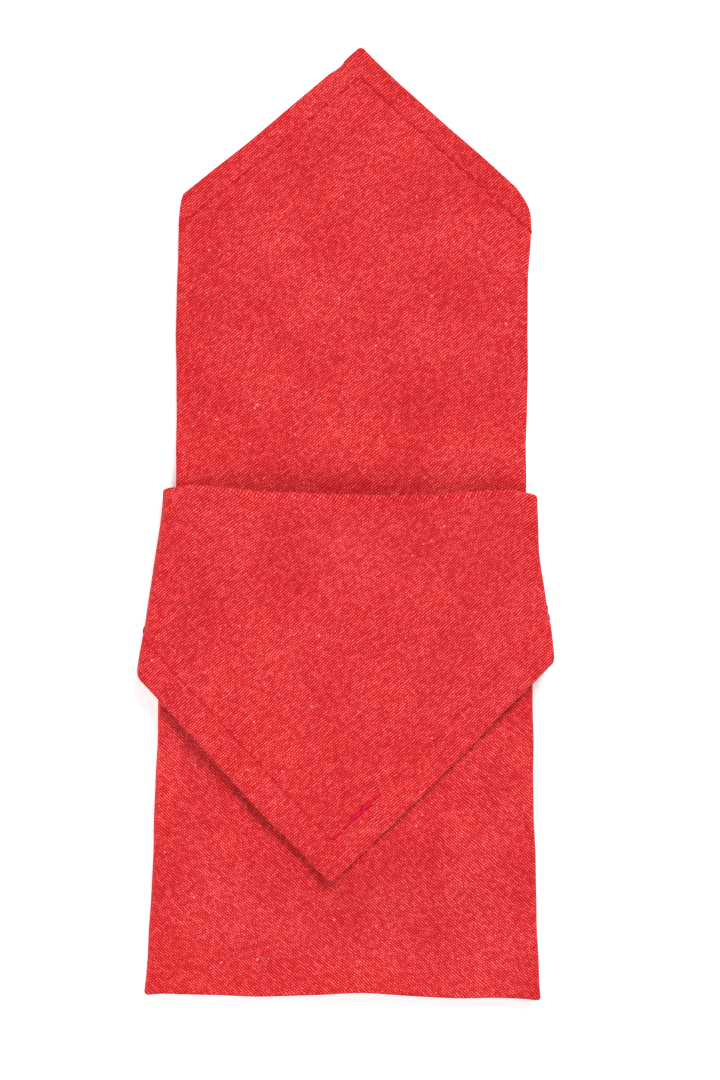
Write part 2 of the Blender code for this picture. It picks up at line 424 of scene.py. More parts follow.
    def shift_along(self, place: Place, x: float, beyond: float, share: float) -> float:
        """Movement along Y that tilts the bottom fold, bows the mouth and rounds the mouth's ends."""
        nick = math.exp(-((x - self.bottom_nick_x) / self.bottom_nick_reach) ** 2)
        near_bottom = smooth(place.y, self.bottom_skew_start_y, self.bottom_fold_y)
        shift = near_bottom * (self.bottom_nick * nick - self.bottom_skew * x)
        if place.panel in (Panel.FRONT, Panel.MOUTH_TURN, Panel.FLAP):
            near_mouth = smooth(place.y, self.mouth_y - self.mouth_sag_reach, self.mouth_y)
            sag = self.mouth_sag - self.mouth_bow * (x - self.mouth_low_x) ** 2
            ends = smooth(beyond, -self.corner_width, self.corner_width)
            shift -= near_mouth * (sag + self.corner_drop * ends)
        if place.panel is Panel.MOUTH_TURN:
            shift += share * (self.mouth_radius - self.half) * math.sin(place.turn)
        return shift

    def fold_point(self, across: float, distance: float) -> Vector:
        """Carry a point of the flat strip to its place in the folded napkin.

        Args:
            across: distance from the strip's middle, to the right.
            distance: distance along the strip from the top point.

        Returns:
            The point of the folded cloth's middle surface.
        """
        place = self.place_on_strip(distance)
        side = side_of(across)
        reach = self.face_reach(place, side)
        beyond = abs(across) - reach
        share = smooth(-beyond, 0.0, self.pocket_ramp)
        out, height = self.turn_side(place, side, beyond)
        from_turn = (beyond - self.turn_length(place, side) / 2) / self.foot_corner_reach
        from_foot = (place.y - self.bottom_fold_y) / self.foot_corner_reach
        in_corner = math.exp(-from_turn * from_turn - from_foot * from_foot)
        x = side.value * (reach + out + self.foot_corner_out * in_corner)
        y = place.y + self.shift_along(place, x, beyond, share) - self.foot_corner_down * in_corner
        z = self.stack_height(place.y) + height + self.lift_of_face(place, x, share)
        return Vector((x + self.stray(y, True), y + self.stray(x, False), z))

    def stray(self, where: float, along_y: bool) -> float:
        """How far the outline wavers at one place, sideways or up and down."""
        waves = [wave for wave in self.waver if wave.along_y is along_y]
        return sum(wave.height * math.sin(where / wave.length * math.tau + wave.phase) for wave in waves)

    def outward(self, across: float, distance: float) -> Vector:
        """Direction away from the cloth's good side at a point of the flat strip."""
        step = 0.0002
        here = self.fold_point(across, distance)
        aside = self.fold_point(across + step, distance) - here
        onward = self.fold_point(across, distance + step) - here
        return onward.cross(aside).normalized()


@dataclass(frozen=True)
class Hem:
    """One hemmed edge of the cloth, straight in the flat strip, falling away from a corner."""

    corner_x: float
    corner_distance: float
    slope: float
    side: Side
    end: End
    width: float
    half_corner: float
    crimson: bool = False

    @property
    def stitch_start(self) -> float:
        """Distance along the edge at which its stitch line crosses the other hem's."""
        return self.width / math.tan(math.radians(self.half_corner))

    @property
    def outward(self) -> Vector:
        """Direction across the hem, out of the cloth."""
        angle = math.radians(self.slope)
        return Vector((self.side.value * math.sin(angle), self.end.value * math.cos(angle), 0.0))

    @property
    def along(self) -> Vector:
        """Direction along the hem, away from its corner."""
        angle = math.radians(self.slope)
        return Vector((self.side.value * math.cos(angle), -self.end.value * math.sin(angle), 0.0))

    @property
    def corner(self) -> Vector:
        """The cloth's corner that the hem starts from."""
        return Vector((self.corner_x, self.corner_distance, 0.0))

    def inset(self, across: float, distance: float) -> float:
        """How far a point of the flat strip lies in from this edge."""
        return -(Vector((across, distance, 0.0)) - self.corner).dot(self.outward)


def make_hems(fold: StripFold) -> list[Hem]:
    """List the four hemmed edges that show, two from each corner of the cloth."""
    top = dict(corner_x=0.0043, corner_distance=0.0, end=End.TOP_POINT, width=0.0062, half_corner=49.3)
    tip = dict(corner_x=-0.0041, corner_distance=fold.length, end=End.FLAP_TIP, width=0.0086, half_corner=44.0)
    return [
        Hem(side=Side.LEFT, slope=39.3, **top),
        Hem(side=Side.RIGHT, slope=42.1, **top),
        Hem(side=Side.LEFT, slope=46.9, **tip),
        Hem(side=Side.RIGHT, slope=45.0, crimson=True, **tip),
    ]


def deselect_all() -> None:
    """Leave edit mode and deselect everything."""
    if bpy.context.object and bpy.context.object.mode != "OBJECT":
        bpy.ops.object.mode_set(mode="OBJECT")
    bpy.ops.object.select_all(action="DESELECT")


def link_piece(name: str, shape: Sheet) -> Object:
    """Turn a finished shape into a smooth-shaded object of the scene.

    Args:
        name: the piece's name.
        shape: its shape, which is freed.

    Returns:
        The new object.
    """
    mesh = bpy.data.meshes.new(name)
    shape.to_mesh(mesh)
    shape.free()
    mesh.shade_smooth()
    piece = bpy.data.objects.new(name, mesh)
    bpy.context.scene.collection.objects.link(piece)
    return piece


def model_rod(vertices: int, radius: float, length: float, middle: float, cuts: Sequence[float]) -> Object:
    """Model a thin rod along X, divided crosswise so that its copies can bend.

    Args:
        vertices: number of its long edges.
        radius: its radius.
        length: its length.
        middle: where its middle is along X.
        cuts: the places along X at which it is divided, as shares of its length.

    Returns:
        The rod.
    """
    deselect_all()
    bpy.ops.mesh.primitive_cylinder_add(
        vertices=vertices,
        radius=radius,
        depth=length,
        location=(middle, 0.0, 0.0),
        rotation=(0.0, math.pi / 2, 0.0),
    )
    rod = bpy.context.object
    bpy.ops.object.transform_apply(location=True, rotation=True, scale=True)
    bpy.ops.object.mode_set(mode="EDIT")
    for cut in cuts:
        bpy.ops.mesh.select_all(action="SELECT")
        bpy.ops.mesh.bisect(plane_co=(cut * length, 0.0, 0.0), plane_no=(1.0, 0.0, 0.0))
    bpy.ops.object.mode_set(mode="OBJECT")
    return rod


@dataclass
class NapkinCloth:
    """The hemmed cloth, cut flat with its hems marked and then folded.

    Args:
        fold: the fold's layout.
        hems: the four hemmed edges.
    """

    fold: StripFold
    hems: list[Hem]
    thickness: float = 0.0006
    hem_thickness: float = 0.00115
    row_step: float = 0.0016
    turn_steps: int = 10
    side_turn_steps: int = 16
    face_columns: int = 30
    wing_columns: int = 10
    merge_distance: float = 0.00005
    thread_angle: float = math.radians(42.0)
    corner_round: float = 0.0014
    round_leans: tuple = (-28, -14, 0, 14, 28)
    edge_lines: tuple = (0.0, 0.0004, 0.0010)
    stitch_lines: tuple = (-0.0010, -0.0004, 0.0, 0.0004, 0.0010)
    edge_share: float = 0.42
    edge_reach: float = 0.0010
    hem_step: tuple = (-0.0008, 0.0004)
    groove_depth: float = 0.12
    groove_reach: float = 0.0004
    quick_rate: float = 190.0
    slow_rate: float = 62.0
    slow_size: float = 1.6
    crease_size: float = 0.7
    across_rate: float = 0.35
    hem_apart: float = 0.05
    band_start: float = -0.0005
    band: tuple = (0.4, 0.8, 1.5)
    creases: tuple = (0.9, 1.3, 1.6, 3.2)
    pucker_height: float = 0.00030
    pucker_fade: float = 0.0025
    pressed_thin: float = 0.60
    pressed_reach: float = 0.0022
    step_out: float = 0.00055
    step_in: float = 0.00045
    step_place: float = 0.0070
    step_inward: float = 0.6
    step_slant: float = 0.7
    step_end: tuple = (-0.0010, 0.0006)
    nick_after: float = 0.0014
    nick_reach: float = 0.0018

    def row_distances(self) -> list[float]:
        """Distances along the strip at which the cloth is divided, closer together in the turns."""
        fold = self.fold
        turn = (fold.bottom_turn_end - fold.back_end) / self.turn_steps
        stretches = (
            (0.0, fold.back_end, self.row_step),
            (fold.back_end, fold.bottom_turn_end, turn),
            (fold.bottom_turn_end, fold.front_end, self.row_step),
            (fold.front_end, fold.mouth_turn_end, turn),
            (fold.mouth_turn_end, fold.length, self.row_step),
        )
        rows = [0.0]
        for start, end, step in stretches:
            count = max(1, round((end - start) / step))
            rows.extend(start + (end - start) * i / count for i in range(1, count + 1))
        return rows

    def half_row(self, place: Place, side: Side) -> list[float]:
        """Distances across one half of the strip, from the middle out: face, side turn and wing."""
        reach = self.fold.face_reach(place, side)
        turn = self.fold.turn_length(place, side)
        wing = self.fold.cloth_reach - reach - turn
        columns = [reach * i / self.face_columns for i in range(1, self.face_columns + 1)]
        columns += [reach + turn * i / self.side_turn_steps for i in range(1, self.side_turn_steps + 1)]
        columns += [reach + turn + wing * i / self.wing_columns for i in range(1, self.wing_columns + 1)]
        return columns

    def lay_flat(self) -> Sheet:
        """Lay the strip out flat, its length along Y, as a sheet of four-sided faces."""
        sheet = bmesh.new()
        rows = []
        for distance in self.row_distances():
            place = self.fold.place_on_strip(distance)
            left = [-across for across in reversed(self.half_row(place, Side.LEFT))]
            right = self.half_row(place, Side.RIGHT)
            rows.append([sheet.verts.new((across, distance, 0.0)) for across in left + [0.0] + right])
        for upper, lower in zip(rows, rows[1:]):
            for i in range(len(upper) - 1):
                sheet.faces.new((upper[i], upper[i + 1], lower[i + 1], lower[i]))
        return sheet

    def cut(self, sheet: Sheet, point: Vector, outward: Vector, trim: bool) -> None:
        """Score the flat sheet along a line, and trim off what lies outside it if asked."""
        bmesh.ops.bisect_plane(
            sheet,
            geom=sheet.verts[:] + sheet.edges[:] + sheet.faces[:],
            dist=self.merge_distance,
            plane_co=point,
            plane_no=outward,
            clear_outer=trim,
        )

    def mark_hem(self, sheet: Sheet, hem: Hem) -> None:
        """Trim the sheet along a hem and score the lines between which the hem's thickness changes."""
        for inset in self.edge_lines + tuple(hem.width + line for line in self.stitch_lines):
            self.cut(sheet, hem.corner - hem.outward * inset, hem.outward, inset == 0.0)

    def round_corner(self, sheet: Sheet, hem: Hem) -> None:
        """Trim the very tip of the cloth's corner that a hem starts from to a small round."""
        half_corner = math.radians(hem.half_corner)
        for degrees in self.round_leans:
            lean = math.radians(degrees)
            outward = Vector((math.sin(lean), hem.end.value * math.cos(lean), 0.0))
            inset = self.corner_round * (math.cos(lean) / math.sin(half_corner) - 1.0)
            self.cut(sheet, hem.corner - outward * inset, outward, True)

    def thickness_share(self, across: float, distance: float) -> float:
        """Thickness at a point of the flat cloth, as a share of the hem's full thickness."""
        plain = self.thickness / self.hem_thickness
        share = plain
        for hem in self.hems:
            inset = hem.inset(across, distance)
            inner = 1.0 - smooth(inset, hem.width + self.hem_step[0], hem.width + self.hem_step[1])
            share = max(share, plain + (1.0 - plain) * inner)
            if inset < self.edge_reach:
                edge = smooth(inset, 0.0, self.edge_reach)
                share = min(share, self.edge_share + (1.0 - self.edge_share) * edge)
                break
        for hem in self.hems:
            from_stitches = (hem.inset(across, distance) - hem.width) / self.groove_reach
            share -= self.groove_depth * math.exp(-(from_stitches ** 2))
        side = side_of(across)
        turn = self.fold.turn_length(self.fold.place_on_strip(distance), side)
        from_turn = self.fold.beyond_face(across, distance) - turn / 2
        pressed = math.exp(-((from_turn / self.pressed_reach) ** 4))
        return share - self.pressed_thin * pressed * max(0.0, share - plain)

    def write_thread_map(self, sheet: Sheet) -> None:
        """Store each corner's place on the flat cloth, turned to run with the threads, in metres."""
        layer = sheet.loops.layers.uv.new("threads")
        across_ridges = Vector((math.sin(self.thread_angle), math.cos(self.thread_angle)))
        along_ridges = Vector((math.cos(self.thread_angle), -math.sin(self.thread_angle)))
        for face in sheet.faces:
            for loop in face.loops:
                flat = loop.vert.co.xy
                loop[layer].uv = (flat.dot(across_ridges), flat.dot(along_ridges))

    def write_hem_map(self, sheet: Sheet) -> None:
        """Store each corner's distance along the nearest hem and in from its stitch line, in metres."""
        layer = sheet.loops.layers.uv.new("hem")
        for face in sheet.faces:
            middle = face.calc_center_median()
            hem = min(self.hems, key=lambda hem: abs(hem.inset(middle.x, middle.y) - hem.width))
            for loop in face.loops:
                flat = loop.vert.co
                along = (flat - hem.corner).dot(hem.along) - hem.stitch_start
                loop[layer].uv = (along, hem.inset(flat.x, flat.y) - hem.width)

    def pucker(self, across: float, distance: float) -> float:
        """Small rises and dips of the cloth's surface along its hems.

        Args:
            across: distance from the strip's middle.
            distance: distance along the strip.

        Returns:
            The height of the surface above its smooth place.
        """
        total = 0.0
        for index, hem in enumerate(self.hems):
            inset = hem.inset(across, distance)
            end = self.creases[3] * hem.width
            if inset > end:
                continue
            along = (Vector((across, distance, 0.0)) - hem.corner).dot(hem.along)
            place = Vector((along, self.across_rate * inset, self.hem_apart * index))
            quick = noise.noise(place * self.quick_rate) * self.pucker_height
            slow = noise.noise(place * self.slow_rate) * self.slow_size * self.pucker_height
            band = smooth(inset, self.band_start, self.band[0] * hem.width)
            band *= smooth(inset, self.band[2] * hem.width, self.band[1] * hem.width)
            creases = smooth(inset, self.creases[0] * hem.width, self.creases[1] * hem.width)
            creases *= smooth(inset, end, self.creases[2] * hem.width)
            total += quick * band + slow * (band + self.crease_size * creases)
        if total == 0.0:
            return total
        return total * smooth(self.fold.beyond_face(across, distance), 0.0, -self.pucker_fade)

    def step_tip(self, across: float, distance: float) -> tuple[float, float]:
        """Move the cloth's edge out a little beside the top point, where the hem's corner shows as a step.

        Args:
            across: distance from the strip's middle.
            distance: distance along the strip.

        Returns:
            The moved place on the flat cloth.
        """
        hem = self.hems[0]
        along = (Vector((across, distance, 0.0)) - hem.corner).dot(hem.along)
        inset = hem.inset(across, distance)
        near = smooth(inset, self.step_inward * hem.width, 0.0)
        out = self.step_out * max(0.0, 1.0 - self.step_slant * abs(along) / self.step_place)
        out *= 1.0 - smooth(along, self.step_place + self.step_end[0], self.step_place + self.step_end[1])
        from_nick = (along - self.step_place - self.nick_after) / self.nick_reach
        out -= self.step_in * math.exp(-(from_nick ** 2))
        moved = hem.outward * (near * out)
        return across + moved.x, distance + moved.y

    def carry(self, across: float, distance: float, rise: float = 0.0) -> Vector:
        """Carry a point of the flat cloth, a little above or below it, to its folded place.

        Args:
            across: distance from the strip's middle.
            distance: distance along the strip.
            rise: height above the cloth's good side.

        Returns:
            The folded point.
        """
        rise += self.pucker(across, distance)
        across, distance = self.step_tip(across, distance)
        point = self.fold.fold_point(across, distance)
        return point if rise == 0.0 else point + self.fold.outward(across, distance) * rise

    def build(self) -> Object:
        """Cut, hem and fold the cloth, and give it its thickness.

        Returns:
            The finished cloth.
        """
        sheet = self.lay_flat()
        for hem in self.hems:
            self.mark_hem(sheet, hem)
        for hem in self.hems[::2]:
            self.round_corner(sheet, hem)
        bmesh.ops.remove_doubles(sheet, verts=sheet.verts, dist=2 * self.merge_distance)
        bmesh.ops.triangulate(sheet, faces=[face for face in sheet.faces if len(face.verts) > 4])
        self.write_thread_map(sheet)
        self.write_hem_map(sheet)
        shares = [self.thickness_share(vert.co.x, vert.co.y) for vert in sheet.verts]
        for vert in sheet.verts:
            vert.co = self.carry(vert.co.x, vert.co.y)
        bmesh.ops.reverse_faces(sheet, faces=sheet.faces)
        cloth = link_piece("hemmed_cloth", sheet)
        group = cloth.vertex_groups.new(name="thickness")
        for index, share in enumerate(shares):
            group.add([index], share, "REPLACE")
        solid = cloth.modifiers.new("cloth thickness", "SOLIDIFY")
        solid.thickness = self.hem_thickness
        solid.offset = 0.0
        solid.vertex_group = group.name
        deselect_all()
        bpy.context.view_layer.objects.active = cloth
        bpy.ops.object.modifier_apply(modifier=solid.name)
        return cloth


@dataclass
class HemStitching:
    """The thread that shows along each hem as a row of short stitches, on both sides of the cloth.

    Args:
        fold: the fold's layout.
        cloth: the cloth that is sewn.
    """

    fold: StripFold
    cloth: NapkinCloth
    stitch_length: float = 0.0027
    stitch_pitch: float = 0.0039
    thread_radius: float = 0.00024
    arch: float = 0.00020
    bite: float = 0.46
    cuts: tuple = (-0.38, -0.15, 0.15, 0.38)
    end_taper: float = 0.55
    taper_start: float = 0.7
    flatness: float = 0.75
    crimson_sizes: tuple = (2.2, 1.9, 3.6, 3.4, 1.9)
    crimson_turn: float = 0.14
    stretch: float = 0.14
    stray_turn: float = 0.05
    seed: int = 7

    def model_stitch(self) -> Object:
        """Model one straight stitch along X, with flattened sides and rounded ends."""
        stitch = model_rod(6, self.thread_radius, self.stitch_length, 0.0, self.cuts)
        half = self.stitch_length / 2
        for vert in stitch.data.vertices:
            taper = 1.0 - self.end_taper * smooth(abs(vert.co.x) / half, self.taper_start, 1.0)
            vert.co.y *= taper
            vert.co.z *= taper * self.flatness
        return stitch

    def lay_stitch(self, target: Sheet, stitch: bpy.types.Mesh, hem: Hem, middle: float,
                   face: float, turn: float, size: float) -> None:
        """Lay one copy of the stitch on the folded cloth.

        Args:
            target: the joined stitches.
            stitch: the stitch that is copied.
            hem: the hem that it runs along.
            middle: distance of its middle from the place where the stitch lines cross.
            face: 1 on the good side of the cloth, -1 on the other.
            turn: how far it lies askew, in radians.
            size: thickness of its thread, as a share of the plain stitch's.
        """
        half = self.stitch_length / 2
        start = hem.corner - hem.outward * hem.width
        surface = self.cloth.hem_thickness * self.bite
        verts = []
        for vert in stitch.vertices:
            stretched = vert.co.x * (1.0 + self.stretch * (size - 1.0))
            aside = vert.co.y * size + vert.co.x * math.sin(turn)
            flat = start + hem.along * (hem.stitch_start + middle + stretched) + hem.outward * aside
            arch = self.arch * (math.cos(vert.co.x / half * math.pi / 2) - 1.0)
            rise = face * (surface + arch + vert.co.z * size)
            verts.append(target.verts.new(self.cloth.carry(flat.x, flat.y, rise)))
        for polygon in stitch.polygons:
            laid = target.faces.new([verts[i] for i in polygon.vertices])
            laid.material_index = int(size > 1.0)

    def build(self) -> Object:
        """Copy the stitch along every hem.

        Returns:
            All the stitches as one piece.
        """
        template = self.model_stitch()
        draw = random.Random(self.seed)
        joined = bmesh.new()
        for hem in self.cloth.hems:
            room = (self.fold.cloth_reach - abs(hem.corner_x)) / math.cos(math.radians(hem.slope))
            for i in range(int((room - hem.stitch_start - hem.width) / self.stitch_pitch)):
                for face in (1.0, -1.0):
                    middle = (i + 0.5) * self.stitch_pitch + (0.0 if face > 0 else self.stitch_pitch / 2)
                    crimson = hem.crimson and i < len(self.crimson_sizes)
                    turn = draw.uniform(-self.stray_turn, self.stray_turn)
                    turn += self.crimson_turn if crimson else 0.0
                    size = self.crimson_sizes[i] if crimson else 1.0
                    self.lay_stitch(joined, template.data, hem, middle, face, turn, size)
        bmesh.ops.recalc_face_normals(joined, faces=joined.faces)
        bpy.data.objects.remove(template, do_unlink=True)
        return link_piece("hem_stitching", joined)


@dataclass
class LooseFibres:
    """Short fibres that stand off the cloth, most of them along its hemmed edges.

    Args:
        fold: the fold's layout.
        cloth: the cloth that they stand on.
    """

    fold: StripFold
    cloth: NapkinCloth
    radius: float = 0.000035
    edge_count: int = 260
    face_count: int = 140
    shortest: float = 0.0006
    longest: float = 0.0017
    cuts: tuple = (0.25, 0.5, 0.75)
    taper: float = 0.6
    curl: float = 0.25
    step: float = 0.0002
    root_inset: float = 0.0003
    hem_stretch: tuple = (0.003, 0.062)
    hem_rise: tuple = (-0.2, 0.5)
    face_across: float = 0.042
    face_start: float = 0.05
    face_stop: float = 0.06
    face_rise: tuple = (0.1, 0.3)
    seed: int = 23

    def lay_fibre(self, target: Sheet, fibre: bpy.types.Mesh, root: Vector, heading: Vector,
                  length: float, rise: float) -> None:
        """Lay one copy of the fibre, its root in the cloth and its free end raised.

        Args:
            target: the joined fibres.
            fibre: the fibre that is copied.
            root: its root on the flat cloth.
            heading: the way that it runs on the flat cloth.
            length: its length.
            rise: height of its free end above the cloth.
        """
        start = self.cloth.carry(root.x, root.y)
        outward = self.fold.outward(root.x, root.y)
        ahead = self.cloth.carry(root.x + heading.x * self.step, root.y + heading.y * self.step) - start
        ahead = (ahead - outward * ahead.dot(outward)).normalized()
        aside = outward.cross(ahead)
        verts = []
        for vert in fibre.vertices:
            share = vert.co.x
            thick = 1.0 - self.taper * share
            curl = length * self.curl * math.sin(share * math.pi)
            bow = ahead * (share * length) + aside * (curl + vert.co.y * thick)
            lift = outward * (rise * math.sin(share * math.pi / 2) + vert.co.z * thick)
            verts.append(target.verts.new(start + bow + lift))
        for polygon in fibre.polygons:
            target.faces.new([verts[i] for i in polygon.vertices])

    def build(self) -> Object:
        """Scatter the fibres over the hemmed edges and the faces.

        Returns:
            All the fibres as one piece.
        """
        template = model_rod(3, self.radius, 1.0, 0.5, self.cuts)
        draw = random.Random(self.seed)
        joined = bmesh.new()
        for i in range(self.edge_count + self.face_count):
            length = draw.uniform(self.shortest, self.longest)
            angle = draw.uniform(0.0, math.tau)
            if i < self.edge_count:
                hem = draw.choice(self.cloth.hems)
                along = draw.uniform(*self.hem_stretch)
                root = hem.corner + hem.along * along - hem.outward * self.root_inset
                heading = (hem.outward + hem.along * math.sin(angle)).normalized()
                rise = draw.uniform(*self.hem_rise) * length
            else:
                across = draw.uniform(-self.face_across, self.face_across)
                distance = draw.uniform(self.face_start, self.fold.length - self.face_stop)
                root = Vector((across, distance, 0.0))
                heading = Vector((math.cos(angle), math.sin(angle), 0.0))
                rise = self.cloth.thickness / 2 + draw.uniform(*self.face_rise) * length
            self.lay_fibre(joined, template.data, root, heading, length, rise)
        bmesh.ops.recalc_face_normals(joined, faces=joined.faces)
        bpy.data.objects.remove(template, do_unlink=True)
        return link_piece("loose_fibres", joined)


class NodeSketch:
    """Adds and links the nodes of one tree, with numbers given in place of links where they are plain."""

    def __init__(self, tree: bpy.types.NodeTree) -> None:
        """Start on a tree."""
        self.tree = tree

    def add(self, kind: str, **settings: object) -> bpy.types.Node:
        """Add a node of a kind and set its named properties."""
        node = self.tree.nodes.new(kind)
        for name, value in settings.items():
            setattr(node, name, value)
        return node

    def feed(self, socket: Socket, value: object) -> None:
        """Link a socket to another, or set its plain value."""
        if isinstance(value, Socket):
            self.tree.links.new(value, socket)
        else:
            socket.default_value = value

    def math(self, operation: str, *values: object) -> Socket:
        """Work out one number from one, two or three."""
        node = self.add("ShaderNodeMath", operation=operation)
        for socket, value in zip(node.inputs, values):
            self.feed(socket, value)
        return node.outputs[0]

    def plus(self, first: object, second: object) -> Socket:
        """Add two numbers."""
        return self.math("ADD", first, second)

    def less(self, first: object, second: object) -> Socket:
        """Take the second number from the first."""
        return self.math("SUBTRACT", first, second)

    def times(self, first: object, second: object) -> Socket:
        """Multiply two numbers."""
        return self.math("MULTIPLY", first, second)

    def grain(self, vector: object, scale: float, detail: float) -> Socket:
        """Read a noise at a scale, from 0 to 1."""
        node = self.add("ShaderNodeTexNoise")
        self.feed(node.inputs["Vector"], vector)
        node.inputs["Scale"].default_value = scale
        node.inputs["Detail"].default_value = detail
        return node.outputs["Fac"]

    def ramp(self, value: object, low: float, high: float, to_low: float = 0.0,
             to_high: float = 1.0) -> Socket:
        """Carry a value smoothly from one range to another."""
        node = self.add("ShaderNodeMapRange", interpolation_type="SMOOTHSTEP")
        self.feed(node.inputs["Value"], value)
        for name, number in zip(("From Min", "From Max", "To Min", "To Max"), (low, high, to_low, to_high)):
            node.inputs[name].default_value = number
        return node.outputs["Result"]

    def mix(self, share: object, first: object, second: object) -> Socket:
        """Mix two colours."""
        node = self.add("ShaderNodeMix", data_type="RGBA")
        self.feed(node.inputs["Factor"], share)
        self.feed(node.inputs[6], first)
        self.feed(node.inputs[7], second)
        return node.outputs[2]

    def vector(self, x: object, y: object, z: object) -> Socket:
        """Join three numbers to a vector."""
        node = self.add("ShaderNodeCombineXYZ")
        for socket, value in zip(node.inputs, (x, y, z)):
            self.feed(socket, value)
        return node.outputs[0]

    def split(self, vector: object) -> tuple[Socket, Socket]:
        """Read a vector's first two numbers."""
        node = self.add("ShaderNodeSeparateXYZ")
        self.feed(node.inputs[0], vector)
        return node.outputs["X"], node.outputs["Y"]

    def bump(self, height: object, strength: float, distance: float) -> Socket:
        """Turn a height into the tilt of the surface."""
        node = self.add("ShaderNodeBump")
        node.inputs["Strength"].default_value = strength
        node.inputs["Distance"].default_value = distance
        self.feed(node.inputs["Height"], height)
        return node.outputs["Normal"]


def start_material(name: str, settings: dict) -> tuple[bpy.types.Material, NodeSketch, bpy.types.Node]:
    """Make a material with the usual shader.

    Args:
        name: the material's name.
        settings: the shader's plain values, by the names of its sockets.

    Returns:
        The material, a sketch of its nodes and its shader.
    """
    material = bpy.data.materials.new(name)
    material.use_nodes = True
    shader = material.node_tree.nodes["Principled BSDF"]
    for socket, value in settings.items():
        shader.inputs[socket].default_value = value
    return material, NodeSketch(material.node_tree), shader


def make_yarn_group() -> bpy.types.NodeTree:
    """Uneven dye of spun yarn, used by the cloth and by its sewing thread.

    Returns:
        A group that takes a vector in metres and puts out a mottle and a mask of pale flecks.
    """
    group = bpy.data.node_groups.new("yarn_mottle", "ShaderNodeTree")
    group.interface.new_socket("Vector", in_out="INPUT", socket_type="NodeSocketVector")
    group.interface.new_socket("Mottle", in_out="OUTPUT", socket_type="NodeSocketFloat")
    group.interface.new_socket("Flecks", in_out="OUTPUT", socket_type="NodeSocketFloat")
    sketch = NodeSketch(group)
    entry = sketch.add("NodeGroupInput")
    leave = sketch.add("NodeGroupOutput")
    place = entry.outputs["Vector"]
    broad = sketch.grain(place, BROAD_RATE, 0.0)
    fine = sketch.grain(place, FINE_RATE, 1.0)
    mottle = sketch.plus(sketch.times(broad, BROAD_SHARE), sketch.times(fine, 1.0 - BROAD_SHARE))
    specks = sketch.ramp(sketch.grain(place, FLECK_RATE, 0.0), *FLECK_RANGE)
    sparse = sketch.ramp(sketch.grain(place, SPARSE_RATE, 1.0), *SPARSE_RANGE)
    flecks = sketch.times(specks, sparse)
    sketch.feed(leave.inputs["Mottle"], mottle)
    sketch.feed(leave.inputs["Flecks"], flecks)
    return group


